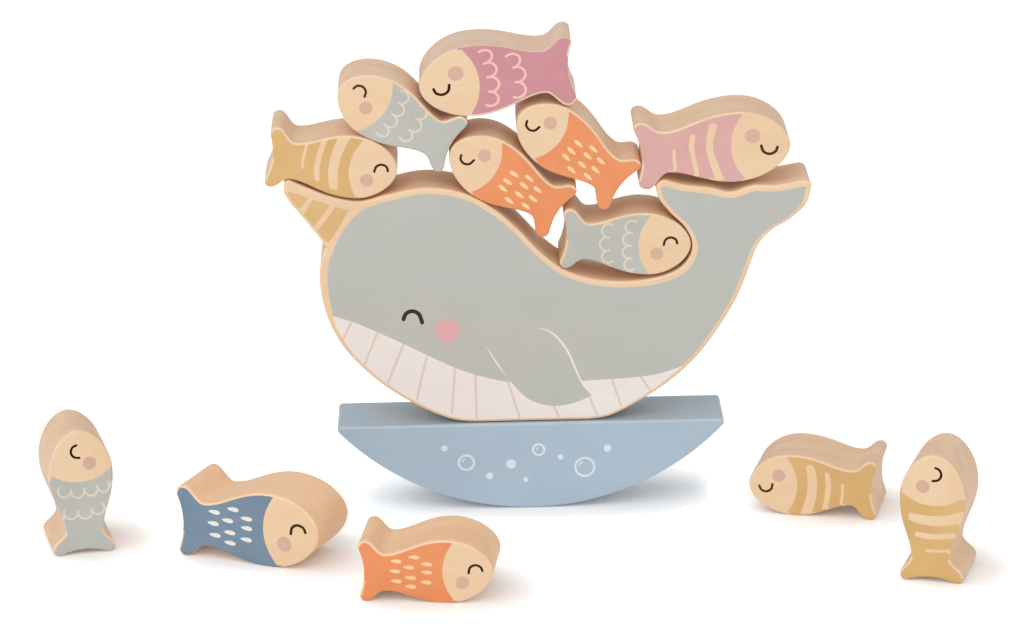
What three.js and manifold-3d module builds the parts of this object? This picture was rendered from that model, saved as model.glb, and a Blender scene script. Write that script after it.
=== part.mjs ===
// Balance game: a whale board standing on a round-bottomed rocker, and twelve wooden fish to stack on it
import * as THREE from "three";
import { mergeVertices } from "three/addons/utils/BufferGeometryUtils.js";
import Module from "manifold-3d";

// Rocker, mm
const ROCKER_CHORD = 163.6;
const ROCKER_HEIGHT = 37.2;
const ROCKER_DEPTH = 32;
const ROCKER_CORNER = 1.6;
const ROCKER_EDGE = 1.2;
const ROCKER_FACETS = 41;

// Whale board, mm
const WHALE_LENGTH = 214;
const WHALE_HEIGHT = 106;
const WHALE_THICKNESS = 29;
const WHALE_EDGE = 1.3;

// Hidden dowels between whale and rocker, mm
const DOWEL_DIAMETER = 8;
const DOWEL_LENGTH = 24;
const DOWEL_SPACING = 30;
const DOWEL_FIT = 0.3;

// Fish, mm, and how tall each kind is for its length
const SMALL_LENGTH = 53.5;
const LARGE_LENGTH = 63.5;
const FISH_BUILD = { full: { ratio: 0.516 }, slim: { ratio: 0.485 } };
const FISH_THICKNESS = 29;
const FISH_EDGE = 1.4;

// Clearance between pieces that touch, mm
const SEAT_GAP = 0.3;

// Where the stacked fish lean, degrees, and where each stands along the whale, as a share of its length
const STACK = {
  bay: { ratio: 0.187, turn: -2 },
  orangeLeft: { ratio: -0.04, turn: 149 },
  pinkStripe: { ratio: 0.361, turn: 1.5 },
  orangeRight: { ratio: 0.091, turn: 145 },
  yellow: { ratio: -0.362, turn: -5.6 },
  sageUpper: { ratio: -0.249, turn: 148 },
  pinkScallop: { ratio: -0.061, turn: 187.9 },
};

// Loose fish on the floor: centre of the front face, turn about the upright axis, way up
const LOOSE = {
  blue: { x: -114, y: -75, yaw: -23.6, roll: 0 },
  orange: { x: -42.7, y: -122, yaw: -7.1, roll: 0 },
  yellow: { x: 113.5, y: -34, yaw: -14.7, roll: 180 },
  sageStanding: { x: -181.9, y: -58.5, yaw: 13.3, roll: 90 },
  yellowStanding: { x: 154.6, y: -112, yaw: -17.5, roll: 90 },
};

const wasm = await Module();
wasm.setup();

const rockerRadius = (ROCKER_CHORD ** 2 / 4 + ROCKER_HEIGHT ** 2) / (2 * ROCKER_HEIGHT);
const footLevel = ROCKER_HEIGHT + SEAT_GAP;
const degrees = (value) => (value * Math.PI) / 180;

// One fish seen from the front, head to the right, belly down
function fishOutline(length, ratio) {
  const sx = length / 53.5;
  const sz = (length * ratio) / 27.6;
  const fish = new THREE.Shape();
  const curve = (a, b, c, d, e, f) => fish.bezierCurveTo(a * sx, b * sz, c * sx, d * sz, e * sx, f * sz);
  fish.moveTo(25.2 * sx, 0);
  curve(25.2, 6.2, 16.5, 13.3, 5.5, 13.3);
  curve(-3.5, 13.3, -10.5, 8.4, -16.5, 8.6);
  curve(-19.8, 8.7, -21, 14.9, -24.4, 14.6);
  curve(-26.8, 14.4, -27.4, 12.6, -26.9, 10.8);
  curve(-25.6, 6.5, -24.6, 0.5, -27.9, -7);
  curve(-28.9, -9.4, -27.2, -10.9, -25.2, -10.6);
  curve(-22.5, -10.2, -21.3, -6.8, -18, -6.8);
  curve(-11, -6.8, -5, -13, 8, -13);
  curve(17, -13, 25.2, -6, 25.2, 0);
  return fish.getPoints(6).slice(0, -1);
}

// The whale board seen from the front, drawn for 214 long and 106 tall above its foot
function whaleOutline() {
  const sx = WHALE_LENGTH / 214;
  const sz = WHALE_HEIGHT / 106;
  const sb = SMALL_LENGTH / 53.5;
  const at = (x, z) => new THREE.Vector2(x * sx, footLevel + z * sz);
  const rim = footLevel + 98 * sz;
  const bay = (x, z) => new THREE.Vector2(40 * sx + (x - 40) * sb, rim + (z - 98) * sb);
  const whale = new THREE.Shape();
  const tip = (a, b, c) => whale.bezierCurveTo(a.x, a.y, b.x, b.y, c.x, c.y);
  const along = (...points) => whale.splineThru(points);
  const start = at(-98.4, 99.2);
  whale.moveTo(start.x, start.y);
  // horn tip
  tip(at(-99.2, 102.7), at(-98.4, 105.8), at(-96.2, 105.4));
  // saddle, back, bay and the underside of the tail, the bay sized on the small fish
  along(
    ...[at(-89.3, 102), at(-79, 97.8), at(-68, 95.8), at(-57, 98.3), at(-42, 101)],
    ...[bay(-28, 99), bay(-16, 93), bay(-5, 83.7), bay(6, 71.7), bay(16, 64.2), bay(28, 60.4), bay(40, 59.4)],
    ...[bay(52, 60.6), bay(61, 63.8), bay(66, 69.2), bay(67, 75.3), bay(64.2, 81.7), bay(58, 88.2)],
    ...[bay(53.6, 94.2), bay(52.4, 98.4)],
  );
  // flukes
  tip(bay(52.2, 100.6), bay(54.2, 102.4), bay(57, 101.9));
  along(at(64, 99.8), at(75, 98.3), at(83, 96.4), at(92, 99), at(101, 98.8), at(112, 100.6));
  tip(at(115, 101.1), at(116.5, 98.8), at(115.5, 96.1));
  // outer side of the tail down to the foot
  along(
    ...[at(113.4, 90), at(106.8, 84), at(99.3, 79.4), at(93.9, 73.1), at(90.2, 63.5), at(85.5, 51.7)],
    ...[at(77.8, 38.5), at(68.5, 26), at(57.1, 15.6), at(45.7, 8.1), at(37.7, 3.6), at(31, 0.9), at(24, 0)],
  );
  const heel = at(-22, 0);
  whale.lineTo(heel.x, heel.y);
  // chin and the underside of the horn
  along(
    ...[at(-29, 0.6), at(-36, 2.6), at(-46.7, 7.8), at(-58.5, 15.5), at(-68.4, 24.2), at(-76.8, 34.4)],
    ...[at(-82.6, 46.7), at(-85.2, 60.2), at(-84.4, 71), at(-82.2, 76.7)],
  );
  along(at(-86.3, 82.6), at(-92, 90.2), at(-96, 95.2), start);
  return distinct(whale.getPoints(2));
}

// Circular segment with its lowest facet flat on the floor
function rockerOutline() {
  const half = Math.asin(ROCKER_CHORD / 2 / rockerRadius);
  const lift = rockerRadius * (1 - Math.cos(half / ROCKER_FACETS));
  const arc = [];
  for (let i = 0; i <= ROCKER_FACETS; i++) {
    const angle = -half + (2 * half * i) / ROCKER_FACETS;
    const z = rockerRadius * (1 - Math.cos(angle)) - lift;
    arc.push(new THREE.Vector2(rockerRadius * Math.sin(angle), z));
  }
  const first = arc[0];
  const last = arc[arc.length - 1];
  const rocker = new THREE.Shape(arc.slice(1, -1));
  const tipAngle = half - half / ROCKER_FACETS;
  const leg = ROCKER_CORNER / Math.tan(tipAngle / 2);
  const handle = leg - (4 / 3) * Math.tan((Math.PI - tipAngle) / 4) * ROCKER_CORNER;
  const toward = (point, end, length) => end.clone().sub(point).setLength(length).add(point);
  const corner = (point, before, after) => {
    const [a, b] = [toward(point, before, leg), toward(point, after, leg)];
    const [c, d] = [toward(point, before, handle), toward(point, after, handle)];
    rocker.lineTo(a.x, a.y);
    rocker.bezierCurveTo(c.x, c.y, d.x, d.y, b.x, b.y);
  };
  corner(last, arc[arc.length - 2], first);
  corner(first, last, arc[1]);
  return distinct(rocker.getPoints(5));
}

function distinct(points) {
  const kept = points.filter((p, i) => i === 0 || p.distanceTo(points[i - 1]) > 0.01);
  if (kept[0].distanceTo(kept[kept.length - 1]) < 0.01) kept.pop();
  return kept;
}

// Turn and shift an outline; flipped shows the other face of the same fish
function placed(points, turn, x, z, flipped = false) {
  const angle = degrees(turn);
  const side = flipped ? -1 : 1;
  return points.map((p) => {
    const v = p.y * side;
    const px = x + p.x * Math.cos(angle) - v * Math.sin(angle);
    return new THREE.Vector2(px, z + p.x * Math.sin(angle) + v * Math.cos(angle));
  });
}

function segmentDistance(p, a, b) {
  const dx = b.x - a.x;
  const dz = b.y - a.y;
  const share = ((p.x - a.x) * dx + (p.y - a.y) * dz) / (dx * dx + dz * dz);
  const t = Math.min(1, Math.max(0, share));
  return Math.hypot(p.x - a.x - t * dx, p.y - a.y - t * dz);
}

// Smallest distance from the corners of one outline to the sides of another
function reach(points, ring) {
  let best = Infinity;
  for (const p of points) {
    for (let i = 0; i < ring.length; i++) {
      best = Math.min(best, segmentDistance(p, ring[i], ring[(i + 1) % ring.length]));
    }
  }
  return best;
}

function inside(p, ring) {
  let odd = false;
  ring.forEach((a, i) => {
    const b = ring[(i + 1) % ring.length];
    const crosses = a.y > p.y !== b.y > p.y;
    if (crosses && p.x < a.x + ((p.y - a.y) * (b.x - a.x)) / (b.y - a.y)) odd = !odd;
  });
  return odd;
}

function clash(points, ring) {
  return points.some((p) => inside(p, ring)) || ring.some((p) => inside(p, points));
}

const shifted = (points, heading, length) => points.map((p) => p.clone().addScaledVector(heading, length));

// Lift an outline clear, then move it in along a direction to one seat gap from what carries it
function settle(points, direction, carriers) {
  const heading = direction.clone().normalize();
  let moved = points;
  while (carriers.some((ring) => clash(moved, ring))) {
    moved = shifted(moved, heading, -SEAT_GAP);
  }
  moved = shifted(moved, heading, -SMALL_LENGTH / 10);
  for (let step = 0; step < 400; step++) {
    const near = Math.min(...carriers.map((ring) => Math.min(reach(moved, ring), reach(ring, moved))));
    const free = near - SEAT_GAP;
    if (free < 0.002) break;
    moved = shifted(moved, heading, free);
  }
  return moved;
}

// Lower hull edge under the middle of an outline: the side it comes to rest on
function restingTurn(points) {
  const sorted = [...points].sort((a, b) => a.x - b.x || a.y - b.y);
  const hull = [];
  for (const p of sorted) {
    while (hull.length > 1) {
      const a = hull[hull.length - 2];
      const b = hull[hull.length - 1];
      if ((b.x - a.x) * (p.y - a.y) - (b.y - a.y) * (p.x - a.x) > 0) break;
      hull.pop();
    }
    hull.push(p);
  }
  const middle = points.reduce((sum, p) => sum + p.x, 0) / points.length;
  const after = Math.max(1, hull.findIndex((p) => p.x > middle));
  const edge = hull[after].clone().sub(hull[after - 1]);
  return (-Math.atan2(edge.y, edge.x) * 180) / Math.PI;
}

// Board cut to an outline in the upright plane, centred front to back, with eased edges
function board(points, thickness, edge) {
  const geometry = new THREE.ExtrudeGeometry(new THREE.Shape(points), {
    depth: thickness - 2 * edge,
    bevelEnabled: true,
    bevelThickness: edge,
    bevelSize: edge,
    bevelOffset: -edge,
    bevelSegments: 2,
    curveSegments: 1,
  });
  geometry.rotateX(Math.PI / 2);
  geometry.translate(0, thickness / 2 - edge, 0);
  return closed(geometry);
}

function closed(geometry) {
  geometry.deleteAttribute("normal");
  geometry.deleteAttribute("uv");
  return mergeVertices(geometry, 0.0001);
}

function toSolid(geometry) {
  const vertProperties = new Float32Array(geometry.attributes.position.array);
  const triVerts = new Uint32Array(geometry.index.array);
  return new wasm.Manifold(new wasm.Mesh({ numProp: 3, vertProperties, triVerts }));
}

function fromSolid(solid) {
  const mesh = solid.getMesh();
  const geometry = new THREE.BufferGeometry();
  geometry.setAttribute("position", new THREE.BufferAttribute(new Float32Array(mesh.vertProperties), 3));
  geometry.setIndex(new THREE.BufferAttribute(new Uint32Array(mesh.triVerts), 1));
  return geometry;
}

// Upright round bar across the joint between rocker and whale
function upright(diameter, length, x) {
  const bar = new THREE.CylinderGeometry(diameter / 2, diameter / 2, length, 24);
  bar.rotateX(Math.PI / 2);
  bar.translate(x, 0, ROCKER_HEIGHT + SEAT_GAP / 2);
  return closed(bar);
}

const dowelPlaces = [-DOWEL_SPACING / 2, DOWEL_SPACING / 2];

function drilled(geometry) {
  let solid = toSolid(geometry);
  for (const x of dowelPlaces) {
    const hole = upright(DOWEL_DIAMETER + 2 * DOWEL_FIT, DOWEL_LENGTH + 2 * DOWEL_FIT, x);
    solid = solid.subtract(toSolid(hole));
  }
  return fromSolid(solid);
}

const group = new THREE.Group();
group.name = "whale_balance_game";

function add(name, geometry, color, roughness) {
  geometry.computeVertexNormals();
  const material = new THREE.MeshStandardMaterial({ color, roughness, metalness: 0 });
  const mesh = new THREE.Mesh(geometry, material);
  mesh.name = name;
  group.add(mesh);
}

const paint = {
  rocker: 0xa9bcc8,
  whale: 0xbebfb8,
  beech: 0xe3c39f,
  yellow: 0xdcb379,
  sage: 0xb9c0b4,
  orange: 0xea9560,
  pink: 0xcf9198,
  rose: 0xdeaea6,
  blue: 0x8391a5,
};

const whale = whaleOutline();
add("rocker_base", drilled(board(rockerOutline(), ROCKER_DEPTH, ROCKER_EDGE)), paint.rocker, 0.55);
add("whale_body", drilled(board(whale, WHALE_THICKNESS, WHALE_EDGE)), paint.whale, 0.6);
add("dowel_left", upright(DOWEL_DIAMETER, DOWEL_LENGTH, dowelPlaces[0]), paint.beech, 0.7);
add("dowel_right", upright(DOWEL_DIAMETER, DOWEL_LENGTH, dowelPlaces[1]), paint.beech, 0.7);

const small = fishOutline(SMALL_LENGTH, FISH_BUILD.full.ratio);
const large = fishOutline(LARGE_LENGTH, FISH_BUILD.full.ratio);
const slim = fishOutline(LARGE_LENGTH, FISH_BUILD.slim.ratio);
const down = new THREE.Vector2(0, -1);
const carriers = [whale];

// Stacked fish, in the order they are put on
function stack(name, outline, place, from, direction, flipped, color) {
  const x = place.ratio * WHALE_LENGTH;
  const start = placed(outline, place.turn, x + from.x, footLevel + from.y, flipped);
  const ring = settle(start, direction, carriers);
  carriers.push(ring);
  add(name, board(ring, FISH_THICKNESS, FISH_EDGE), color, 0.6);
}

const above = new THREE.Vector2(0, 2.2 * WHALE_HEIGHT);
const alongBack = new THREE.Vector2(1, -1.1);
const inBay = new THREE.Vector2(0.076 * SMALL_LENGTH, 0.9245 * WHALE_HEIGHT - 0.482 * SMALL_LENGTH);
const downBack = new THREE.Vector2(0.55, -1);
const overOrange = new THREE.Vector2(-0.05 * WHALE_LENGTH, 1.26 * WHALE_HEIGHT);
stack("sage_fish_bay", small, STACK.bay, inBay, alongBack, false, paint.sage);
stack("orange_fish_left", small, STACK.orangeLeft, above, down, false, paint.orange);
stack("pink_stripe_fish", slim, STACK.pinkStripe, above, down, true, paint.rose);
stack("orange_fish_right", small, STACK.orangeRight, overOrange, downBack, false, paint.orange);
stack("yellow_fish_stack", small, STACK.yellow, above, down, false, paint.yellow);
stack("sage_fish_upper", small, STACK.sageUpper, above, down, true, paint.sage);
stack("pink_scallop_fish", slim, STACK.pinkScallop, above, down, false, paint.pink);

// Loose fish, at rest on the floor on the side they were put down on
function loose(name, outline, place, flipped, color) {
  const rolled = placed(outline, place.roll, 0, 0, flipped);
  const level = placed(rolled, restingTurn(rolled), 0, 0);
  const lowest = Math.min(...level.map((p) => p.y));
  const seated = level.map((p) => new THREE.Vector2(p.x, p.y - lowest));
  const geometry = board(seated, FISH_THICKNESS, FISH_EDGE);
  geometry.translate(0, FISH_THICKNESS / 2, 0);
  geometry.rotateZ(degrees(place.yaw));
  geometry.translate(place.x, place.y, 0);
  add(name, geometry, color, 0.6);
}

loose("blue_fish", large, LOOSE.blue, false, paint.blue);
loose("orange_fish_floor", small, LOOSE.orange, false, paint.orange);
loose("yellow_fish_floor", small, LOOSE.yellow, false, paint.yellow);
loose("sage_fish_standing", small, LOOSE.sageStanding, false, paint.sage);
loose("yellow_fish_standing", small, LOOSE.yellowStanding, true, paint.yellow);

export default group;
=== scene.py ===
import math
import bpy
from mathutils import Matrix, Vector
from mathutils.geometry import delaunay_2d_cdt


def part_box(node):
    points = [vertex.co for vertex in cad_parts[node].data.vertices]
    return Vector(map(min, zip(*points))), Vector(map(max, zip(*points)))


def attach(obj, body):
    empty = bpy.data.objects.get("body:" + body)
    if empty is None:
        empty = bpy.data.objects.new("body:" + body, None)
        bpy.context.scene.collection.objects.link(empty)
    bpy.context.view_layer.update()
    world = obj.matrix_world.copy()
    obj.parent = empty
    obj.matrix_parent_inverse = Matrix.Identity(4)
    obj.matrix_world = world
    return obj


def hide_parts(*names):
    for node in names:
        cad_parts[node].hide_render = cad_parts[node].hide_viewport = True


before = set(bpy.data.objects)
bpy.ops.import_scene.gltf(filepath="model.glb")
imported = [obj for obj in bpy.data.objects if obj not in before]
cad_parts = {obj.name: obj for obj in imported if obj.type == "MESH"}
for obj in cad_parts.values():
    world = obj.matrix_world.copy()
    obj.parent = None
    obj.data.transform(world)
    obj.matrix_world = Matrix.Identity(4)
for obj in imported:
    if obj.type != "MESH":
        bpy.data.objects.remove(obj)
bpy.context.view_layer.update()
scene = bpy.context.scene
mm = 0.001
print("frame loaded,", len(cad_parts), "nodes")


def paint(red, green, blue):
    # a colour as it is seen on screen, turned into Blender's linear values
    steps = [c / 255 for c in (red, green, blue)]
    return tuple(c / 12.92 if c <= 0.04045 else ((c + 0.055) / 1.055) ** 2.4 for c in steps) + (1,)


# camera, set up against the photograph's frame of 1024 x 641
cameraSetup = {
    "place": (-28.744, -1694.083, 610.858),
    "right": (0.99967266, -0.01850431, -0.01766817),
    "up": (0.02241338, 0.30038938, 0.95355328),
    "ahead": (0.01233752, 0.95363715, -0.30070580),
    "lens": 151.055, "sensor": 36, "farthest": 30,
}


def setCamera(spec):
    data = bpy.data.cameras.new("camera")
    data.sensor_fit = "HORIZONTAL"
    data.sensor_width = spec["sensor"]
    data.lens = spec["lens"]
    data.clip_end = spec["farthest"]
    camera = bpy.data.objects.new("camera", data)
    scene.collection.objects.link(camera)
    axes = [Vector(spec["right"]), Vector(spec["up"]), -Vector(spec["ahead"])]
    turn = Matrix([[a[row] for a in axes] for row in range(3)]).to_4x4()
    camera.matrix_world = Matrix.Translation(Vector(spec["place"]) * mm) @ turn
    scene.camera = camera


setCamera(cameraSetup)
print("camera set")


# node helpers
shiftStep = (0.37, 0.113, 0.731)  # how far one unit of a piece's shift moves its pattern


def addNode(tree, kind, **values):
    node = tree.nodes.new(kind)
    for key, value in values.items():
        setattr(node, key, value)
    return node


def newGroup(name, number, outputs):
    # a group that takes coordinates and one number, and puts out numbers
    group = bpy.data.node_groups.new(name, "ShaderNodeTree")
    group.interface.new_socket(name="Vector", in_out="INPUT", socket_type="NodeSocketVector")
    group.interface.new_socket(name=number, in_out="INPUT", socket_type="NodeSocketFloat")
    for label in outputs:
        group.interface.new_socket(name=label, in_out="OUTPUT", socket_type="NodeSocketFloat")
    return group, group.nodes.new("NodeGroupInput"), group.nodes.new("NodeGroupOutput")


def stretched(tree, vector, shift, scale):
    # coordinates moved on by the piece's own shift and stretched along the grain
    move = addNode(tree, "ShaderNodeVectorMath", operation="SCALE")
    move.inputs[0].default_value = shiftStep
    tree.links.new(shift, move.inputs["Scale"])
    add = addNode(tree, "ShaderNodeVectorMath", operation="ADD")
    tree.links.new(vector, add.inputs[0])
    tree.links.new(move.outputs[0], add.inputs[1])
    size = addNode(tree, "ShaderNodeVectorMath", operation="MULTIPLY")
    tree.links.new(add.outputs[0], size.inputs[0])
    size.inputs[1].default_value = scale
    return size.outputs[0]


def noise(tree, vector, look):
    node = addNode(tree, "ShaderNodeTexNoise")
    tree.links.new(vector, node.inputs["Vector"])
    node.inputs["Scale"].default_value = look.get("scale", 1.0)
    node.inputs["Detail"].default_value = look["detail"]
    node.inputs["Roughness"].default_value = look["roughness"]
    node.inputs["Distortion"].default_value = look.get("distortion", 0.0)
    return node.outputs["Fac"]


def layer(tree, given, look):
    where = stretched(tree, given.outputs["Vector"], given.outputs["Shift"], look["stretch"])
    return noise(tree, where, look)


def ramp(tree, value, low, high):
    node = addNode(tree, "ShaderNodeMapRange", interpolation_type="SMOOTHSTEP")
    tree.links.new(value, node.inputs["Value"])
    node.inputs["From Min"].default_value = low
    node.inputs["From Max"].default_value = high
    return node.outputs["Result"]


def maths(tree, operation, first, second):
    node = addNode(tree, "ShaderNodeMath", operation=operation)
    for slot, value in zip(node.inputs, (first, second)):
        if isinstance(value, (int, float)):
            slot.default_value = value
        else:
            tree.links.new(value, slot)
    return node.outputs[0]


# sanded beech with the grain along x
beechLook = {
    "broad": {"stretch": (9, 70, 95), "detail": 4, "roughness": 0.55, "distortion": 0.6},
    "fine": {"stretch": (55, 620, 900), "detail": 3, "roughness": 0.6},
    "rays": {"stretch": (330, 1500, 2600), "detail": 2, "roughness": 0.5},
    "broadShare": 0.7, "fineShare": 0.3, "rayDepth": 0.6,
    "streakRange": (0.36, 0.66), "fleckRange": (0.60, 0.74),
}


def makeBeechGrain(look):
    # long soft streaks, short ray flecks and fine pores
    group, given, result = newGroup("beechGrain", "Shift", ["Streak", "Fleck", "Height"])
    broad = layer(group, given, look["broad"])
    fine = layer(group, given, look["fine"])
    rays = layer(group, given, look["rays"])
    wide = maths(group, "MULTIPLY", broad, look["broadShare"])
    streak = maths(group, "ADD", wide, maths(group, "MULTIPLY", fine, look["fineShare"]))
    height = maths(group, "SUBTRACT", fine, maths(group, "MULTIPLY", rays, look["rayDepth"]))
    group.links.new(ramp(group, streak, *look["streakRange"]), result.inputs["Streak"])
    group.links.new(ramp(group, rays, *look["fleckRange"]), result.inputs["Fleck"])
    group.links.new(height, result.inputs["Height"])
    return group


# uneven ink film
coatLook = {
    "cloud": {"stretch": (38, 60, 52), "detail": 5, "roughness": 0.6},
    "hole": {"stretch": (900, 1500, 1900), "detail": 2, "roughness": 0.5},
    "roller": {"stretch": (1150, 1150, 1150), "detail": 2, "roughness": 0.5},
    "cloudRange": (0.32, 0.70), "holeRange": (0.70, 0.80), "holeDepth": 0.5,
}


def makeInkCoat(look):
    # cloudy density, pinholes where the wood comes through, faint roller texture
    group, given, result = newGroup("inkCoat", "Shift", ["Cloud", "Pinhole", "Height"])
    cloud = layer(group, given, look["cloud"])
    hole = layer(group, given, look["hole"])
    roller = layer(group, given, look["roller"])
    height = maths(group, "SUBTRACT", roller, maths(group, "MULTIPLY", hole, look["holeDepth"]))
    group.links.new(ramp(group, cloud, *look["cloudRange"]), result.inputs["Cloud"])
    group.links.new(ramp(group, hole, *look["holeRange"]), result.inputs["Pinhole"])
    group.links.new(height, result.inputs["Height"])
    return group


# rubbed edges, paler partly from wear and partly as a painted highlight
wearAndHighlightLook = {
    "scale": 150.0, "detail": 4, "roughness": 0.65, "patchRange": (0.35, 0.70),
    "patchShare": 0.5, "evenShare": 0.5, "polish": 0.5,
}


def makeRimWearAndHighlight(look):
    # the mesh says where the rounding is, noise breaks it up; the paler colour there is partly wear and partly a
    # painted highlight
    group, given, result = newGroup("rimWearAndHighlight", "Rim", ["Worn", "Polish"])
    rim = given.outputs["Rim"]
    patch = ramp(group, noise(group, given.outputs["Vector"], look), *look["patchRange"])
    uneven = maths(group, "ADD", maths(group, "MULTIPLY", patch, look["patchShare"]), look["evenShare"])
    group.links.new(maths(group, "MULTIPLY", rim, uneven), result.inputs["Worn"])
    group.links.new(maths(group, "MULTIPLY", rim, look["polish"]), result.inputs["Polish"])
    return group


beechGrain = makeBeechGrain(beechLook)
inkCoat = makeInkCoat(coatLook)
rimWearAndHighlight = makeRimWearAndHighlight(wearAndHighlightLook)
bumpDepth = 0.2 * mm


class Finish:
    # one material under way: its tree, shader, coordinates and the piece's own numbers
    def __init__(self, name):
        self.material = bpy.data.materials.new(name)
        self.material.use_nodes = True
        self.tree = self.material.node_tree
        self.tree.nodes.clear()
        self.shader = addNode(self.tree, "ShaderNodeBsdfPrincipled")
        output = addNode(self.tree, "ShaderNodeOutputMaterial")
        self.tree.links.new(self.shader.outputs[0], output.inputs["Surface"])
        self.vector = addNode(self.tree, "ShaderNodeTexCoord").outputs["Object"]
        self.shift = addNode(self.tree, "ShaderNodeAttribute", attribute_name="shift").outputs["Fac"]
        self.rim = addNode(self.tree, "ShaderNodeAttribute", attribute_name="rim").outputs["Fac"]

    def place(self, group, **links):
        node = addNode(self.tree, "ShaderNodeGroup", node_tree=group)
        self.tree.links.new(self.vector, node.inputs["Vector"])
        for label, socket in links.items():
            self.tree.links.new(socket, node.inputs[label])
        return node.outputs

    def mix(self, factor, first, second):
        node = addNode(self.tree, "ShaderNodeMix", data_type="RGBA")
        self.tree.links.new(factor, node.inputs["Factor"])
        colours = [s for s in node.inputs if s.type == "RGBA"]
        for slot, value in zip(colours, (first, second)):
            if isinstance(value, tuple):
                slot.default_value = value
            else:
                self.tree.links.new(value, slot)
        return next(s for s in node.outputs if s.type == "RGBA")

    def spread(self, value, low, high):
        node = addNode(self.tree, "ShaderNodeMapRange")
        self.tree.links.new(value, node.inputs["Value"])
        node.inputs["To Min"].default_value = low
        node.inputs["To Max"].default_value = high
        return node.outputs["Result"]

    def share(self, value, amount):
        return maths(self.tree, "MULTIPLY", value, amount)

    def finish(self, colour, roughness, height, strength):
        self.tree.links.new(colour, self.shader.inputs["Base Color"])
        self.tree.links.new(roughness, self.shader.inputs["Roughness"])
        bump = addNode(self.tree, "ShaderNodeBump")
        bump.inputs["Strength"].default_value = strength
        bump.inputs["Distance"].default_value = bumpDepth
        self.tree.links.new(height, bump.inputs["Height"])
        self.tree.links.new(bump.outputs[0], self.shader.inputs["Normal"])
        return self.material


# bare wood: light, dark, fleck and a rounded-edge tone that is partly rubbed wear and partly a painted highlight
beechFinish = {"fleck": 0.35, "wornAndHighlight": 0.75, "roughSpread": 0.12, "polish": 0.16, "bump": 0.22}
woodTones = {
    "sandedBeech": [(242, 208, 175), (234, 196, 161), (208, 169, 133), (250, 222, 184)],
    "warmBeech": [(251, 209, 169), (243, 197, 155), (217, 170, 127), (253, 222, 179)],
    "coolBeech": [(240, 209, 184), (232, 197, 170), (206, 170, 142), (249, 222, 189)],
    "sealedBeech": [(241, 209, 171), (237, 202, 163), (225, 185, 143), (246, 216, 178)],
}
woodRoughness = {"sandedBeech": 0.50, "warmBeech": 0.50, "coolBeech": 0.50, "sealedBeech": 0.46}
bareWood = paint(*woodTones["sealedBeech"][0])


def beech(name, tones, spec):
    light, dark, fleck, edge = (paint(*tone) for tone in tones)
    work = Finish(name)
    grain = work.place(beechGrain, Shift=work.shift)
    wearAndHighlight = work.place(rimWearAndHighlight, Rim=work.rim)
    colour = work.mix(grain["Streak"], light, dark)
    colour = work.mix(work.share(grain["Fleck"], spec["fleck"]), colour, fleck)
    # paler rounded edge: partly wear, partly a painted highlight
    colour = work.mix(work.share(wearAndHighlight["Worn"], spec["wornAndHighlight"]), colour, edge)
    least = woodRoughness[name]
    rough = work.spread(grain["Streak"], least, least + spec["roughSpread"])
    rough = maths(work.tree, "SUBTRACT", rough, work.share(wearAndHighlight["Polish"], spec["polish"]))
    return work.finish(colour, rough, grain["Height"], spec["bump"])


# printed inks: full tone and deep tone
inkFinish = {"grain": 0.05, "pinhole": 0.3, "rough": (0.46, 0.56), "grainHeight": 0.8, "bump": 0.12}
inkTones = {
    "sage": [(192, 193, 186), (185, 186, 179)],
    "orange": [(240, 148, 93), (233, 139, 84)],
    "yellow": [(223, 182, 119), (215, 173, 109)],
    "pink": [(211, 145, 154), (204, 137, 147)],
    "rose": [(223, 172, 168), (216, 164, 160)],
    "blue": [(118, 142, 165), (109, 133, 156)],
    "belly": [(241, 234, 229), (238, 230, 225)],
    "gold": [(226, 186, 126), (218, 177, 116)],
    "cheek": [(222, 178, 158), (217, 171, 151)],
    "finLine": [(240, 238, 232), (232, 230, 223)],
    "bellyLine": [(230, 209, 193), (225, 203, 186)],
    "bubble": [(230, 236, 240), (221, 229, 235)],
    "sageLine": [(228, 215, 197), (223, 209, 191)],
    "pinkLine": [(248, 200, 187), (243, 193, 180)],
    "blueLine": [(243, 238, 230), (238, 232, 223)],
    "orangeLine": [(255, 215, 168), (251, 208, 160)],
    "grey": [(190, 192, 186), (187, 189, 183)],
    "eye": [(54, 22, 2), (46, 17, 2)],
    "brow": [(25, 28, 27), (19, 22, 21)],
}
whaleBlush = {
    "x": -33.3, "z": 77.4, "radius": 4.9, "soft": 1.9, "strength": 0.88, "tone": (236, 168, 172),
}
inkExtras = {"grey": {"spot": whaleBlush}, "eye": {"shine": 0.05}, "brow": {"shine": 0.05}}


def ink(name, tones, spec, spot=None, shine=0.5):
    tone, deep = (paint(*colour) for colour in tones)
    work = Finish(name + "Ink")
    work.shader.inputs["Specular IOR Level"].default_value = shine
    coat = work.place(inkCoat, Shift=work.shift)
    grain = work.place(beechGrain, Shift=work.shift)
    colour = work.mix(coat["Cloud"], tone, deep)
    colour = work.mix(work.share(grain["Streak"], spec["grain"]), colour, bareWood)
    if spot:
        colour = work.mix(softSpot(work, spot), colour, paint(*spot["tone"]))
    colour = work.mix(work.share(coat["Pinhole"], spec["pinhole"]), colour, bareWood)
    rough = work.spread(coat["Cloud"], *spec["rough"])
    height = maths(work.tree, "ADD", coat["Height"], work.share(grain["Height"], spec["grainHeight"]))
    return work.finish(colour, rough, height, spec["bump"])


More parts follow.
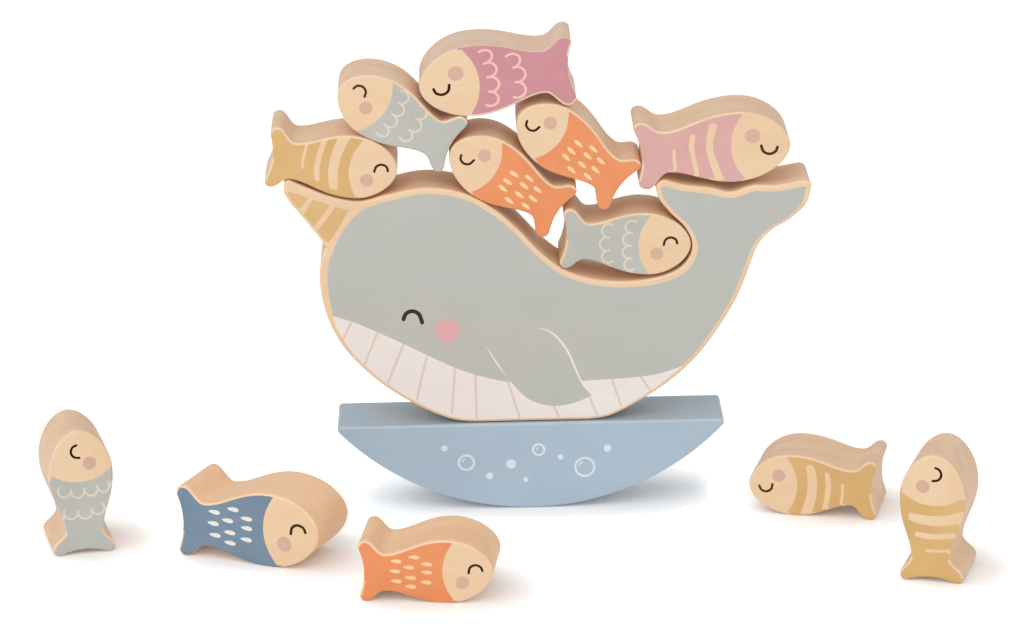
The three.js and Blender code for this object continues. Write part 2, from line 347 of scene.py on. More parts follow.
def softSpot(work, spot):
    # round blush with a soft edge, the same on both faces because y is left out
    flat = addNode(work.tree, "ShaderNodeVectorMath", operation="MULTIPLY")
    work.tree.links.new(work.vector, flat.inputs[0])
    flat.inputs[1].default_value = (1, 0, 1)
    away = addNode(work.tree, "ShaderNodeVectorMath", operation="DISTANCE")
    work.tree.links.new(flat.outputs[0], away.inputs[0])
    away.inputs[1].default_value = (spot["x"] * mm, 0, spot["z"] * mm)
    edge = addNode(work.tree, "ShaderNodeMapRange", interpolation_type="SMOOTHSTEP")
    work.tree.links.new(away.outputs["Value"], edge.inputs["Value"])
    edge.inputs["From Min"].default_value = (spot["radius"] - spot["soft"]) * mm
    edge.inputs["From Max"].default_value = (spot["radius"] + spot["soft"]) * mm
    edge.inputs["To Min"].default_value = spot["strength"]
    edge.inputs["To Max"].default_value = 0
    return edge.outputs["Result"]


# the rocker's paint: full tone, deep tone and a paler rounded-edge tone, partly rubbed wear and partly a painted
# highlight
paintFinish = {
    "tones": [(175, 195, 211), (171, 191, 208), (211, 220, 225)],
    "wornAndHighlight": 0.45, "rough": (0.40, 0.52), "coat": 0.12, "coatRough": 0.35, "bump": 0.16,
}


def satinPaint(name, spec):
    tone, deep, wornAndHighlight = (paint(*colour) for colour in spec["tones"])
    work = Finish(name)
    coat = work.place(inkCoat, Shift=work.shift)
    wearAndHighlight = work.place(rimWearAndHighlight, Rim=work.rim)
    colour = work.mix(coat["Cloud"], tone, deep)
    # paler rounded edge: partly wear, partly a painted highlight
    colour = work.mix(work.share(wearAndHighlight["Worn"], spec["wornAndHighlight"]), colour, wornAndHighlight)
    rough = work.spread(coat["Cloud"], *spec["rough"])
    work.shader.inputs["Coat Weight"].default_value = spec["coat"]
    work.shader.inputs["Coat Roughness"].default_value = spec["coatRough"]
    return work.finish(colour, rough, coat["Height"], spec["bump"])


woods = {name: beech(name, tones, beechFinish) for name, tones in woodTones.items()}
inks = {name: ink(name, tones, inkFinish, **inkExtras.get(name, {})) for name, tones in inkTones.items()}
bluePaint = satinPaint("bluePaint", paintFinish)
print("finishes made,", len(bpy.data.materials))


# outlines, in millimetres
sameSpot = 0.02  # points closer than this count as one
strokeEnd = {"thinnest": 0.12, "lead": 0.3, "steps": 5}  # pointed ends, then round ends


def bezier(start, handleA, handleB, end, count):
    # curve from start to end, its last point left off
    points = []
    for i in range(count):
        t = i / count
        s = 1 - t
        points.append(tuple(
            s ** 3 * a + 3 * s * s * t * b + 3 * s * t * t * c + t ** 3 * d
            for a, b, c, d in zip(start, handleA, handleB, end)
        ))
    return points


def spline(points, count):
    # even curve through the points, its last point left off
    curve = []
    last = len(points) - 1
    for k in range(last):
        p = [points[max(k - 1, 0)], points[k], points[k + 1], points[min(k + 2, last)]]
        for i in range(count):
            t = i / count
            curve.append(tuple(
                0.5 * (2 * b + (c - a) * t + (2 * a - 5 * b + 4 * c - d) * t * t + (3 * b - a - 3 * c + d) * t ** 3)
                for a, b, c, d in zip(*p)
            ))
    return curve


def wholeSpline(points, count):
    return spline(points, count) + [points[-1]]


def tidied(points):
    # points in order against the clock, none twice
    kept = [p for i, p in enumerate(points) if math.dist(p, points[i - 1]) > sameSpot]
    area = sum(a[0] * b[1] - b[0] * a[1] for a, b in zip(kept, kept[1:] + kept[:1]))
    return kept if area > 0 else kept[::-1]


def outward(points):
    normals = []
    for i, p in enumerate(points):
        before = Vector(p) - Vector(points[i - 1])
        after = Vector(points[(i + 1) % len(points)]) - Vector(p)
        side = before.normalized() + after.normalized()
        normals.append(Vector((side.y, -side.x)).normalized())
    return normals


def stroke(points, width, taper=False):
    # a drawn line as a closed outline with round or pointed ends
    left, right = [], []
    last = len(points) - 1
    lead = strokeEnd["lead"]
    for i, p in enumerate(points):
        along = (Vector(points[min(i + 1, last)]) - Vector(points[max(i - 1, 0)])).normalized()
        across = Vector((-along.y, along.x))
        half = width / 2
        if taper:
            half *= max(strokeEnd["thinnest"], math.sin(math.pi * (i + lead) / (last + 2 * lead)))
        left.append(tuple(Vector(p) + across * half))
        right.append(tuple(Vector(p) - across * half))
    if taper:
        return left + right[::-1]
    ends = []
    for end, start in ((points[-1], right[-1]), (points[0], left[0])):
        offset = Vector(start) - Vector(end)
        ring = []
        for k in range(1, strokeEnd["steps"]):
            turn = Matrix.Rotation(math.pi * k / strokeEnd["steps"], 2)
            ring.append(tuple(Vector(end) + turn @ offset))
        ends.append(ring)
    return right + ends[0] + left[::-1] + ends[1]


def disc(x, z, radius, count=28):
    angles = [2 * math.pi * i / count for i in range(count)]
    return [(x + radius * math.cos(a), z + radius * math.sin(a)) for a in angles]


# boards: rounded edges all round, both faces cut along the print
board = {
    "edgeSteps": 5,
    "faceFinishBands": 3,  # rings of the rounded edge, next to the face, that may take the face's finish
    "cutNear": 1e-5,
}


def roundedSide(outline, normals, half, edge):
    # rings of points from the front face over the side to the back face
    verts, vertNormals, rims, loops = [], [], [], []
    profile = [k * math.pi / (2 * board["edgeSteps"]) for k in range(board["edgeSteps"] + 1)]
    for side, angles in ((-1, profile[::-1]), (1, profile)):
        for angle in angles:
            loops.append(list(range(len(verts), len(verts) + len(outline))))
            for p, n in zip(outline, normals):
                spot = Vector(p) - n * edge * (1 - math.cos(angle))
                depth = half - edge * (1 - math.sin(angle))
                verts.append((spot.x, side * depth, spot.y))
                vertNormals.append((n.x * math.cos(angle), side * math.sin(angle), n.y * math.cos(angle)))
                rims.append(math.sin(2 * angle))
    return verts, vertNormals, rims, loops


def cutFace(flatLoop, regions):
    # the face is a flat sheet cut by every region's outline
    points, shapes = [], []
    for shape in [flatLoop] + [tidied(region) for region in regions]:
        shapes.append(list(range(len(points), len(points) + len(shape))))
        points.extend(Vector(p) for p in shape)
    cut = delaunay_2d_cdt(points, [], shapes, 1, board["cutNear"], True)
    ownPoints = {i: own for i, sources in enumerate(cut[3]) for own in sources if own < len(flatLoop)}
    kept = [(triangle, inside) for triangle, inside in zip(cut[2], cut[5]) if 0 in inside]
    return cut[0], kept, ownPoints


def addedPoints(triangles, ownPoints):
    # points that a print's outline adds to the edge of the face, by the outline point before them
    steps = {(t[k], t[(k + 1) % 3]) for t in triangles for k in range(3)}
    ahead = {a: b for a, b in steps if (b, a) not in steps}
    added = {}
    for start, own in ownPoints.items():
        chain = []
        here = ahead.get(start)
        while here is not None and here not in ownPoints:
            chain.append(here)
            here = ahead.get(here)
        if chain:
            added[own] = chain
    return added


def boardPiece(name, outline, spec, regions, chooser, materials, shift, edgeTakesFace=None):
    half = spec["thickness"] / 2
    count = len(outline)
    normals = outward(outline)
    verts, vertNormals, rims, loops = roundedSide(outline, normals, half, spec["edge"])
    faces = []
    for a, b in zip(loops, loops[1:]):
        for i in range(count):
            j = (i + 1) % count
            faces.append((a[i], b[i], b[j], a[j]))
    slots = [0] * len(faces)
    sheet, kept, ownPoints = cutFace([(verts[i][0], verts[i][2]) for i in loops[0]], regions)
    added = addedPoints([triangle for triangle, inside in kept], ownPoints)
    bands = len(loops) - 1
    rimSlots = {}
    for side, loop in ((-1, loops[0]), (1, loops[-1])):
        index = {i: loop[own] for i, own in ownPoints.items()}
        for triangle, inside in kept:
            for i in triangle:
                if i not in index:
                    index[i] = len(verts)
                    verts.append((sheet[i].x, side * half, sheet[i].y))
                    vertNormals.append((0, side, 0))
                    rims.append(0)
            corners = [index[i] for i in triangle]
            faces.append(tuple(corners if side < 0 else corners[::-1]))
            slots.append(chooser({i - 1 for i in inside if i > 0}))
            rimSlots.update({ownPoints[i]: slots[-1] for i in triangle if i in ownPoints})
        # the side's faces take up the points that the cut added, so the mesh stays closed
        for i, chain in added.items():
            fresh = tuple(index[k] for k in chain)
            if side < 0:
                faces[i] += fresh[::-1]
            else:
                at = (bands - 1) * count + i
                faces[at] = faces[at][:2] + fresh + faces[at][2:]
    # on the edges picked by the piece's pose, the rounded edge next to the face takes the face's finish
    if edgeTakesFace:
        faceBands = board["faceFinishBands"]
        for i, slot in rimSlots.items():
            if edgeTakesFace(normals[i]):
                for band in [*range(faceBands), *range(bands - faceBands, bands)]:
                    slots[band * count + i] = slot
    mesh = bpy.data.meshes.new(name)
    mesh.from_pydata([tuple(c * mm for c in v) for v in verts], [], faces)
    for material in materials:
        mesh.materials.append(material)
    mesh.polygons.foreach_set("material_index", slots)
    mesh.polygons.foreach_set("use_smooth", [True] * len(faces))
    mesh.attributes.new("rim", "FLOAT", "POINT").data.foreach_set("value", rims)
    mesh.attributes.new("shift", "FLOAT", "POINT").data.foreach_set("value", [shift] * len(verts))
    mesh.validate()
    mesh.update()
    mesh.normals_split_custom_set_from_vertices(vertNormals)
    piece = bpy.data.objects.new(name, mesh)
    scene.collection.objects.link(piece)
    return piece


def seat(piece, node, body, turn):
    # turned like its solid, then set in the middle of the solid's box
    corners = [turn @ v.co for v in piece.data.vertices]
    low = Vector([min(c[i] for c in corners) for i in range(3)])
    high = Vector([max(c[i] for c in corners) for i in range(3)])
    boxLow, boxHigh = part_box(node)
    piece.matrix_world = Matrix.Translation((boxLow + boxHigh - low - high) / 2) @ turn
    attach(piece, body)
    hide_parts(node)


# rocker: a slice of a disc, satin paint, pale bubbles given as x, z and radius
rocker = {
    "chord": 163.6, "height": 37.2, "thickness": 32.0, "edge": 1.2, "corner": 1.6, "shift": 3.7,
    "arcSteps": 128, "cornerSteps": 9, "topSteps": 40,
    "rings": [(-27, 20.5, 3.6), (22, 17.5, 4.4), (3, 25.5, 2.8)],
    "dots": [
        (-17.5, 14.5, 1.5), (-8.5, 19.5, 2.0), (-36, 27, 1.3),
        (12, 22, 1.2), (31.5, 25.5, 1.6), (-2.5, 12.5, 1.1),
    ],
    "line": 0.9, "outerSteps": 40, "innerSteps": 36, "dotSteps": 24,
    "shineInset": 2.0, "shineWidth": 0.6, "shineAngles": (2.0, 2.3, 2.6, 2.9),
}


def rockerOutline(spec):
    radius = (spec["chord"] ** 2 / 4 + spec["height"] ** 2) / (2 * spec["height"])
    top = spec["height"]
    # round corner between the arc and the flat top, tangent to both
    corner = spec["corner"]
    inner = radius - corner
    drop = top - corner
    reach = math.sqrt(inner ** 2 - (drop - radius) ** 2)
    touch = math.atan2(reach, radius - drop)
    arc = []
    for i in range(spec["arcSteps"] + 1):
        angle = -touch + 2 * touch * i / spec["arcSteps"]
        arc.append((radius * math.sin(angle), max(0.0, radius * (1 - math.cos(angle)))))
    right = []
    for i in range(1, spec["cornerSteps"] + 1):
        angle = touch - math.pi / 2 + (math.pi - touch) * i / spec["cornerSteps"]
        right.append((reach + corner * math.cos(angle), drop + corner * math.sin(angle)))
    left = [(-x, z) for x, z in right[::-1]]
    flat = [(reach - 2 * reach * i / spec["topSteps"], top) for i in range(1, spec["topSteps"])]
    return tidied(arc + right + flat + left)


def makeRocker(spec):
    marks = []
    for x, z, radius in spec["rings"]:
        inset = radius - spec["shineInset"]
        shine = [(x + inset * math.cos(a), z + inset * math.sin(a)) for a in spec["shineAngles"]]
        marks += [
            ("ring", disc(x, z, radius, spec["outerSteps"])),
            ("hole", disc(x, z, radius - spec["line"], spec["innerSteps"])),
            ("ring", stroke(shine, spec["shineWidth"])),
        ]
    marks += [("ring", disc(*dot, spec["dotSteps"])) for dot in spec["dots"]]

    def choose(inside):
        # the mark drawn last is on top
        return 1 if inside and marks[max(inside)][0] == "ring" else 0

    piece = boardPiece(
        "rocker_painted", rockerOutline(spec), spec, [region for kind, region in marks], choose,
        [bluePaint, inks["bubble"]], spec["shift"],
    )
    seat(piece, "rocker_base", "rocker", Matrix.Identity(4))


makeRocker(rocker)
print("rocker made")


# whale: grey body, banded horn, pale belly with folds, fin, eye and blush
whale = {
    "thickness": 29.0, "edge": 1.3, "foot": 37.5, "shift": 1.3,
    "tipSteps": 10, "sweepSteps": 5, "footSteps": 12,
    # heights from the foot up: horn tip, saddle to the inside of the tail, two fluke tips with the edge
    # between them, outside of the tail, foot, chin and brow
    "outline": [
        ("tip", [(-98.4, 99.2), (-99.2, 102.7), (-98.4, 105.8), (-96.2, 105.4)]),
        ("sweep", [
            (-96.2, 105.4), (-89.3, 102), (-79, 97.8), (-68, 95.8), (-57, 98.3), (-42, 101), (-28, 99),
            (-16, 93), (-5, 83.7), (6, 71.7), (16, 64.2), (28, 60.4), (40, 59.4), (52, 60.6), (61, 63.8),
            (66, 69.2), (67, 75.3), (64.2, 81.7), (58, 88.2), (53.6, 94.2), (52.4, 98.4),
        ]),
        ("tip", [(52.4, 98.4), (52.2, 100.6), (54.2, 102.4), (57, 101.9)]),
        ("sweep", [(57, 101.9), (64, 99.8), (75, 98.3), (83, 96.4), (92, 99), (101, 98.8), (112, 100.6)]),
        ("tip", [(112, 100.6), (115, 101.1), (116.5, 98.8), (115.5, 96.1)]),
        ("sweep", [
            (115.5, 96.1), (113.4, 90), (106.8, 84), (99.3, 79.4), (93.9, 73.1), (90.2, 63.5), (85.5, 51.7),
            (77.8, 38.5), (68.5, 26), (57.1, 15.6), (45.7, 8.1), (37.7, 3.6), (31, 0.9), (24, 0),
        ]),
        ("foot", [(24, 0), (-22, 0)]),
        ("sweep", [
            (-22, 0), (-29, 0.6), (-36, 2.6), (-46.7, 7.8), (-58.5, 15.5), (-68.4, 24.2), (-76.8, 34.4),
            (-82.6, 46.7), (-85.2, 60.2), (-84.4, 71), (-82.2, 76.7),
        ]),
        ("sweep", [(-82.2, 76.7), (-86.3, 82.6), (-92, 90.2), (-96, 95.2), (-98.4, 99.2)]),
    ],
    # bare wood round the print, wider on the tail's outer side and at the brow
    "margin": 1.85, "slip": (0.4, -0.7),
    "tailBare": 0.85, "tailFrom": 30, "tailFade": 30,
    "browBare": 1.0, "browFrom": 80, "browFade": 8, "browSide": -60,
    "hornEdge": [
        (-83.0, 99.5), (-82.2, 104.0), (-81.1, 108.2), (-79.5, 112.6), (-77.1, 117.6), (-73.7, 123.0),
        (-69.5, 127.7), (-64.4, 131.3), (-58.0, 134.0),
    ],
    "hornRest": [(-56.5, 141), (-70, 150), (-106, 150), (-106, 100), (-88, 99)],
    "gold": [
        [(-97.0, 138.4), (-88.6, 135.4), (-92.4, 131.0), (-93.4, 131.4), (-96.9, 136.3)],
        [(-87.0, 134.6), (-80.1, 132.2), (-86.8, 123.0), (-87.7, 123.5), (-90.8, 128.5)],
        [(-77.9, 131.3), (-72.4, 129.7), (-74.6, 126.2), (-78.0, 120.6), (-80.8, 116.4), (-82.2, 116.8),
         (-85.6, 121.0)],
    ],
    "belly": [
        (-90, 88.2), (-81, 85.1), (-75, 83.1), (-70, 81.2), (-62.1, 77.4), (-51.4, 72.1), (-40.7, 66.4),
        (-30.7, 61.4), (-22.1, 58.1), (-13.6, 55.7), (-6, 54.6), (8, 54.2), (22.6, 54.6), (32.1, 55),
        (45, 55.7), (53.6, 57.1), (60.7, 59.3), (68, 62.5),
    ],
    "bellyRest": [(75, 30), (-95, 30)],
    "folds": [
        [(-73.0, 81.6), (-76.8, 74.2)], [(-62.4, 77.0), (-67.8, 64.0)], [(-51.8, 71.8), (-58.4, 55.6)],
        [(-42.2, 66.9), (-46.8, 48.4)], [(-30.8, 61.2), (-32.4, 42.2)], [(-22.5, 58.2), (-22.3, 39.6)],
        [(-9.2, 55.1), (-4.6, 39.4)], [(9.4, 44.4), (11.6, 39.4)], [(24.5, 47.2), (27.4, 39.6)],
        [(33.6, 55.2), (37.4, 43.4)], [(45.4, 55.9), (50.8, 48.0)],
    ],
    "finLeft": [
        (-16.4, 70), (-12.1, 61.4), (-6.4, 52.9), (-0.7, 47.1), (6.4, 44.3), (12.1, 44), (17.9, 45),
        (22.9, 46.9), (25.3, 48.3),
    ],
    "finRight": [
        (25.3, 48.3), (22.9, 51.1), (20.7, 55), (17.9, 62.1), (15, 68.6), (10.7, 74.3), (6.4, 77.1), (2.9, 77.6),
    ],
    "finShadow": [(-17.6, 70.2), (-14.6, 64.8), (-11.9, 60.4), (-9.3, 56.6)],
    "eye": [(-51.4, 82.8), (-50.4, 85.1), (-47.8, 86.2), (-45.1, 84.9), (-43.8, 81.2)],
    "foldWidth": 1.0, "finLineWidth": 0.85, "finShadowWidth": 0.7, "eyeWidth": 1.7,
    "printSteps": 4, "hornSteps": 5, "eyeSteps": 6,
}


def whaleOutline(spec):
    line = []
    for kind, points in spec["outline"]:
        points = [(x, z + spec["foot"]) for x, z in points]
        if kind == "tip":
            line += bezier(*points, spec["tipSteps"])
        elif kind == "sweep":
            line += spline(points, spec["sweepSteps"])
        else:
            (toe, foot), (heel, foot) = points
            line += [(toe + (heel - toe) * i / spec["footSteps"], foot) for i in range(spec["footSteps"])]
    return tidied(line)


def makeWhale(spec):
    outline = whaleOutline(spec)
    slip = Vector(spec["slip"])

    def bare(x, z, n):
        # how far the print stops short of the outline
        tail = max(n.x, 0) * min(max((x - spec["tailFrom"]) / spec["tailFade"], 0), 1)
        brow = max(-n.x, 0) * min(max((z - spec["browFrom"]) / spec["browFade"], 0), 1)
        brow = brow if x < spec["browSide"] else 0
        return spec["margin"] - n.dot(slip) + spec["tailBare"] * tail + spec["browBare"] * brow

    steps = spec["printSteps"]
    finRight = wholeSpline(spec["finRight"], steps)
    marks = [("print", [tuple(Vector(p) - n * bare(*p, n)) for p, n in zip(outline, outward(outline))])]
    marks.append(("horn", wholeSpline(spec["hornEdge"], spec["hornSteps"]) + spec["hornRest"]))
    marks += [("gold", patch) for patch in spec["gold"]]
    marks.append(("belly", wholeSpline(spec["belly"], steps) + spec["bellyRest"]))
    marks += [("fold", stroke(fold, spec["foldWidth"])) for fold in spec["folds"]]
    marks += [
        ("fin", spline(spec["finLeft"], steps) + finRight),
        ("finLine", stroke(finRight, spec["finLineWidth"], taper=True)),
        ("finLine", stroke(spline(spec["finShadow"], steps), spec["finShadowWidth"], taper=True)),
        ("eye", stroke(wholeSpline(spec["eye"], spec["eyeSteps"]), spec["eyeWidth"])),
    ]
    coats = {
        "side": woods["sandedBeech"], "grey": inks["grey"], "belly": inks["belly"], "gold": inks["gold"],
        "fold": inks["bellyLine"], "finLine": inks["finLine"], "eye": inks["brow"], "face": woods["sealedBeech"],
    }
    names = list(coats)

    def choose(inside):
        found = {marks[i][0] for i in inside}
        if "gold" in found:
            pick = "gold"
        elif "horn" in found or "print" not in found:
            pick = "face"
        elif "eye" in found or "finLine" in found:
            pick = "eye" if "eye" in found else "finLine"
        elif "fin" in found or "belly" not in found:
            pick = "grey"
        else:
            pick = "fold" if "fold" in found else "belly"
        return names.index(pick)

    piece = boardPiece(
        "whale_printed", outline, spec, [region for kind, region in marks], choose,
        coats.values(), spec["shift"],
    )
    seat(piece, "whale_body", "rocker", Matrix.Identity(4))


makeWhale(whale)
print("whale made")


# fish: one outline in three builds, four prints, six inks
fishShape = {
    "thickness": 29.0, "edge": 0.9, "firstShift": 2.1, "nextShift": 0.83,
    "nose": (25.2, 0), "curveSteps": 12,
    "curves": [
        [(25.2, 6.2), (16.5, 13.3), (5.5, 13.3)],
        [(-3.5, 13.3), (-10.5, 8.4), (-16.5, 8.6)],
        [(-19.8, 8.7), (-21, 14.9), (-24.4, 14.6)],
        [(-26.8, 14.4), (-27.4, 12.6), (-26.9, 10.8)],
        [(-25.6, 6.5), (-24.6, 0.5), (-27.9, -7)],
        [(-28.9, -9.4), (-27.2, -10.9), (-25.2, -10.6)],
        [(-22.5, -10.2), (-21.3, -6.8), (-18, -6.8)],
        [(-11, -6.8), (-5, -13), (8, -13)],
        [(17, -13), (25.2, -6), (25.2, 0)],
    ],
    "gill": [(11.5, 14.6), (6.6, 7.2), (4.9, 0), (6.1, -7.2), (10.5, -14.8)],
    "headRest": [(34, -20), (34, 20)],
    "eye": [(15.2, -0.4), (15.9, 1.8), (17.9, 2.8), (20.0, 2.0), (20.7, 0.3)],
    "gillSteps": 6, "eyeSteps": 5, "eyeWidth": 1.0,
    "cheek": (12.4, -4.2, 2.7),
    "faceEdgeFrom": -0.1,  # how far round from level an edge may face and still take the face's finish
}
fishPrints = {
    "scallops": {
        "width": 0.85, "bulge": 2.9, "curl": 106, "steps": 16,
        "columns": [
            [(3.1, 9.5), (1.4, 4.5), (1.2, -1.0), (1.5, -6.4), (2.7, -11.1)],
            [(-6.5, 8.1), (-8.1, 2.5), (-8.0, -3.2), (-6.1, -8.0)],
        ],
    },
    "dashes": {
        "width": 2.0, "length": 4.3, "lean": -8, "steps": 20, "middleWidth": 0.78, "drawnOut": 0.22,
        "middles": [
            (-12.9, 5.9), (-13.8, 1.8), (-13.6, -2.4), (-5.7, 7.2), (-8.2, 3.1),
            (-7.9, -1.2), (-8.2, -4.9), (-1.0, 4.1), (-1.3, 0.7), (-1.9, -3.4),
        ],
    },
    "stripes": {
        "steps": 5,
        "bands": [
            [[(0.2, 14.5), (-2.5, 6.2), (-3.4, 0), (-3.1, -5.5), (-2.3, -8.3), (-1.4, -9.0)],
             [(5.2, 14.5), (1.8, 6.2), (0.6, 0), (0.6, -5.5), (0.9, -8.2), (0.1, -9.1)]],
            [[(-6.2, 13.5), (-8.4, 5.6), (-9.2, 0), (-9.0, -3.6), (-8.6, -5.4), (-8.0, -6.0)],
             [(-4.0, 13.5), (-6.1, 5.6), (-6.9, 0), (-6.8, -3.6), (-6.7, -5.3), (-7.2, -6.0)]],
            [[(-12.9, 9.2), (-13.4, 8.6), (-14.4, 3), (-14.5, -0.8), (-14.2, -1.3)],
             [(-12.4, 9.1), (-12.2, 8.6), (-13.2, 3), (-13.4, -0.8), (-13.7, -1.3)]],
        ],
    },
    "slimStripes": {
        "steps": 5,
        "bands": [
            [[(0.2, 14.5), (-1.0, 10.6), (-2.8, 4.6), (-3.6, -0.4), (-3.2, -5.4), (-2.5, -8.8), (-1.7, -9.6)],
             [(3.3, 14.5), (2.1, 11.0), (-0.1, 4.6), (-1.3, -0.4), (-0.6, -5.4), (0.3, -8.8), (-0.6, -9.7)]],
            [[(-7.1, 12.5), (-8.0, 7.6), (-9.5, -0.4), (-9.3, -3.4), (-8.9, -5.2), (-8.4, -5.8)],
             [(-5.8, 12.5), (-6.5, 7.6), (-7.7, -0.4), (-7.4, -3.4), (-7.2, -5.2), (-7.7, -5.8)]],
            [[(-14.6, 8.6), (-15.0, 7.8), (-15.2, 3), (-15.1, 0.0), (-14.8, -0.5)],
             [(-14.1, 8.5), (-13.8, 7.8), (-14.1, 3), (-14.2, 0.0), (-14.4, -0.5)]],
        ],
    },
}
# length and height against the small fish
fishSize = {"small": (1, 1), "large": (1.187, 1.187), "slim": (1.187, 1.116)}
# where each one sits: turn in the board's own plane, yaw about the upright, belly up where flipped;
# register is how far its print came off the middle, and one setting picks whether the edges that face up or down
# take the face's finish
shoal = {
    "sage_fish_bay": {
        "size": "small", "ink": "sage", "print": "scallops", "turn": -2, "register": (-1.1, 0.3),
    },
    "orange_fish_left": {
        "size": "small", "ink": "orange", "print": "dashes", "turn": 149, "register": (-0.3, 0.3),
    },
    "pink_stripe_fish": {
        "size": "slim", "ink": "rose", "print": "slimStripes", "turn": 1.5, "flip": True, "register": (0.0, 0.4),
    },
    "orange_fish_right": {
        "size": "small", "ink": "orange", "print": "dashes", "turn": 145, "register": (0.4, 0.3),
    },
    "yellow_fish_stack": {
        "size": "small", "ink": "yellow", "print": "stripes", "turn": -5.6, "register": (0.7, -0.6),
    },
    "sage_fish_upper": {
        "size": "small", "ink": "sage", "print": "scallops", "turn": 148, "flip": True, "register": (-0.6, 2.0),
    },
    "pink_scallop_fish": {
        "size": "slim", "ink": "pink", "print": "scallops", "turn": 187.9, "register": (-0.3, 0.5),
        "faceEdgeSide": 1, "wood": "coolBeech",
    },
    "blue_fish": {
        "size": "large", "ink": "blue", "print": "dashes", "turn": 4.01, "yaw": -23.6, "register": (-0.3, -0.2),
        "wood": "warmBeech",
    },
    "orange_fish_floor": {
        "size": "small", "ink": "orange", "print": "dashes", "turn": 4.01, "yaw": -7.1, "register": (0.4, -0.4),
        "wood": "warmBeech",
    },
    "yellow_fish_floor": {
        "size": "small", "ink": "yellow", "print": "stripes", "turn": 182.49, "yaw": -14.7, "register": (0.1, 0.2),
    },
    "sage_fish_standing": {
        "size": "small", "ink": "sage", "print": "scallops", "turn": 93.27, "yaw": 13.3, "register": (-1.6, 0.4),
    },
    "yellow_fish_standing": {
        "size": "small", "ink": "yellow", "print": "stripes", "turn": 86.73, "yaw": -17.5, "flip": True,
        "register": (-0.6, 0.2),
    },
}


def fishOutline(shape, long, tall):
    points = []
    here = shape["nose"]
    for a, b, c in shape["curves"]:
        points += bezier(here, a, b, c, shape["curveSteps"])
        here = c
    return tidied([(x * long, z * tall) for x, z in points])


def scallopLines(spec):
    # each bump is part of an ellipse whose ends curl back past the next one
    lines = []
    for column in spec["columns"]:
        for a, b in zip(column, column[1:]):
            middle = (Vector(a) + Vector(b)) / 2
            along = (Vector(b) - Vector(a)) / 2
            across = Vector((along.y, -along.x)).normalized() * spec["bulge"]
            bump = []
            for i in range(spec["steps"] + 1):
                angle = math.radians(spec["curl"]) * (2 * i / spec["steps"] - 1)
                bump.append(tuple(middle + along * math.sin(angle) + across * math.cos(angle)))
            lines.append(stroke(bump, spec["width"]))
    return lines


def dashLines(spec):
    # brush dabs, full at the head end and drawn out towards the tail
    lines = []
    lean = Matrix.Rotation(math.radians(spec["lean"]), 2)
    for x, z in spec["middles"]:
        dab = []
        for i in range(spec["steps"]):
            angle = 2 * math.pi * i / spec["steps"]
            along = math.cos(angle)
            wide = math.sin(angle) * (spec["middleWidth"] + spec["drawnOut"] * along)
            spot = lean @ Vector((along * spec["length"] / 2, wide * spec["width"] / 2))
            dab.append((x + spot.x, z + spot.y))
        lines.append(dab)
    return lines


def stripeBands(spec):
    return [wholeSpline(a, spec["steps"]) + wholeSpline(b[::-1], spec["steps"]) for a, b in spec["bands"]]


printMakers = {
    "scallops": scallopLines, "dashes": dashLines, "stripes": stripeBands, "slimStripes": stripeBands,
}


def makeFish(node, spec, shape, shift):
    long, tall = fishSize[spec["size"]]
    marks = [
        ("head", wholeSpline(shape["gill"], shape["gillSteps"]) + shape["headRest"]),
        ("eye", stroke(wholeSpline(shape["eye"], shape["eyeSteps"]), shape["eyeWidth"])),
        ("cheek", disc(*shape["cheek"])),
    ]
    marks += [("line", line) for line in printMakers[spec["print"]](fishPrints[spec["print"]])]
    offX, offZ = spec["register"]
    regions = [[((x + offX) * long, (z + offZ) * tall) for x, z in region] for kind, region in marks]
    coats = {
        "side": woods[spec.get("wood", "sandedBeech")], "body": inks[spec["ink"]],
        "head": woods["sealedBeech"], "eye": inks["eye"], "cheek": inks["cheek"],
        "line": inks.get(spec["ink"] + "Line", woods["sealedBeech"]),
    }
    names = list(coats)

    def choose(inside):
        found = {marks[i][0] for i in inside}
        return names.index(next((kind for kind in ("eye", "cheek", "head", "line") if kind in found), "body"))

    yaw = Matrix.Rotation(math.radians(spec.get("yaw", 0)), 4, "Z")
    turn = yaw @ Matrix.Rotation(math.radians(-spec["turn"]), 4, "Y")
    if spec.get("flip"):
        turn = turn @ Matrix.Rotation(math.pi, 4, "X")
    upward = turn.inverted() @ Vector((0, 0, 1))

    def edgeTakesFace(n):
        # by default the rounded edges that face down in the world take the face's finish; a setting of 1 picks the
        # ones that face up
        return (n.x * upward.x + n.y * upward.z) * spec.get("faceEdgeSide", -1) > shape["faceEdgeFrom"]

    piece = boardPiece(
        node + "_printed", fishOutline(shape, long, tall), shape, regions, choose, coats.values(), shift, edgeTakesFace,
    )
    seat(piece, node, node, turn)


for number, (node, spec) in enumerate(shoal.items()):
    makeFish(node, spec, fishShape, fishShape["firstShift"] + fishShape["nextShift"] * number)
print("fish made,", len(shoal))


# dowels keep their solids, with turned beech on them
for node in ("dowel_left", "dowel_right"):
    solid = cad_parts[node]
    solid.data.materials.clear()
    solid.data.materials.append(woods["sandedBeech"])
print("dowels finished")


# floor, soft light and a white room, in metres
studio = {
    "floorHalf": 6, "floorTone": 0.95, "floorLift": 0.42, "underLift": 0.08, "bounce": 0.18,
    "paintedShadowReach": 0.024, "paintedShadowFall": 4.5, "paintedShadowSamples": 16,
    "paintedShadowFacing": (-0.9, 0.12, 1),  # turned to the key lamp, so the painted contact shadows fall to the right
    "worldLight": 0.62,
    "lamps": [
        {"name": "keyLamp", "place": (-0.9, -1.9, 1.9), "size": 2.8, "power": 30.5},
        {"name": "fillLamp", "place": (1.5, -1.6, 1.0), "size": 2.4, "power": 3},
    ],
    "aim": (0, 0, 0.08),
}


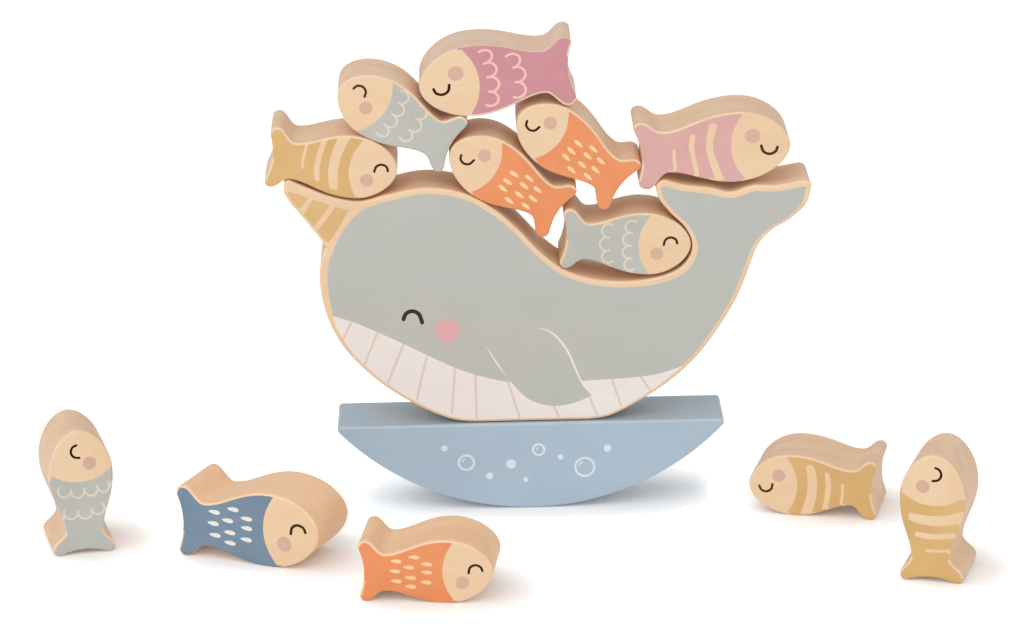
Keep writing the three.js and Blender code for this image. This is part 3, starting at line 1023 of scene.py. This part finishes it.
def makeFloor(spec):
    half = spec["floorHalf"]
    mesh = bpy.data.meshes.new("studioFloor")
    mesh.from_pydata([(-half, -half, 0), (half, -half, 0), (half, half, 0), (-half, half, 0)], [], [(0, 1, 2, 3)])
    floor = bpy.data.objects.new("studioFloor", mesh)
    scene.collection.objects.link(floor)
    material = bpy.data.materials.new("studioFloor")
    material.use_nodes = True
    tree = material.node_tree
    tree.nodes.clear()
    sheet = addNode(tree, "ShaderNodeBsdfDiffuse")
    sheet.inputs["Color"].default_value = (spec["floorTone"],) * 3 + (1,)
    # the floor glows to white; close to the pieces an occlusion term holds the glow back, which paints soft contact
    # shadows there
    paintedShadowOcclusion = addNode(tree, "ShaderNodeAmbientOcclusion", samples=spec["paintedShadowSamples"])
    paintedShadowOcclusion.inputs["Distance"].default_value = spec["paintedShadowReach"]
    facing = addNode(tree, "ShaderNodeVectorMath", operation="NORMALIZE")
    facing.inputs[0].default_value = spec["paintedShadowFacing"]
    tree.links.new(facing.outputs[0], paintedShadowOcclusion.inputs["Normal"])
    clear = maths(tree, "POWER", paintedShadowOcclusion.outputs["AO"], spec["paintedShadowFall"])
    lift = maths(tree, "ADD", maths(tree, "MULTIPLY", clear, spec["floorLift"]), spec["underLift"])
    # other rays get only the bounce share of the glow, so the glowing floor also lights the pieces a little, as
    # painted bounce light
    path = addNode(tree, "ShaderNodeLightPath")
    seen = maths(tree, "MAXIMUM", path.outputs["Is Camera Ray"], spec["bounce"])
    glow = addNode(tree, "ShaderNodeEmission")
    tree.links.new(maths(tree, "MULTIPLY", lift, seen), glow.inputs["Strength"])
    both = addNode(tree, "ShaderNodeAddShader")
    tree.links.new(sheet.outputs[0], both.inputs[0])
    tree.links.new(glow.outputs[0], both.inputs[1])
    output = addNode(tree, "ShaderNodeOutputMaterial")
    tree.links.new(both.outputs[0], output.inputs["Surface"])
    mesh.materials.append(material)


def makeLight(spec):
    world = bpy.data.worlds.new("studioRoom")
    scene.world = world
    world.use_nodes = True
    tree = world.node_tree
    tree.nodes.clear()
    path = addNode(tree, "ShaderNodeLightPath")
    seen = maths(tree, "MAXIMUM", path.outputs["Is Camera Ray"], path.outputs["Is Transmission Ray"])
    strength = addNode(tree, "ShaderNodeMapRange")
    tree.links.new(seen, strength.inputs["Value"])
    strength.inputs["To Min"].default_value = spec["worldLight"]
    strength.inputs["To Max"].default_value = 1
    room = addNode(tree, "ShaderNodeBackground")
    room.inputs["Color"].default_value = (1, 1, 1, 1)
    tree.links.new(strength.outputs["Result"], room.inputs["Strength"])
    output = addNode(tree, "ShaderNodeOutputWorld")
    tree.links.new(room.outputs[0], output.inputs["Surface"])
    for lamp in spec["lamps"]:
        data = bpy.data.lights.new(lamp["name"], "AREA")
        data.size = lamp["size"]
        data.energy = lamp["power"]
        light = bpy.data.objects.new(lamp["name"], data)
        scene.collection.objects.link(light)
        light.location = lamp["place"]
        toward = Vector(spec["aim"]) - Vector(lamp["place"])
        light.rotation_euler = toward.to_track_quat("-Z", "Y").to_euler()


makeFloor(studio)
makeLight(studio)
scene.view_settings.view_transform = "Standard"
print("studio set")
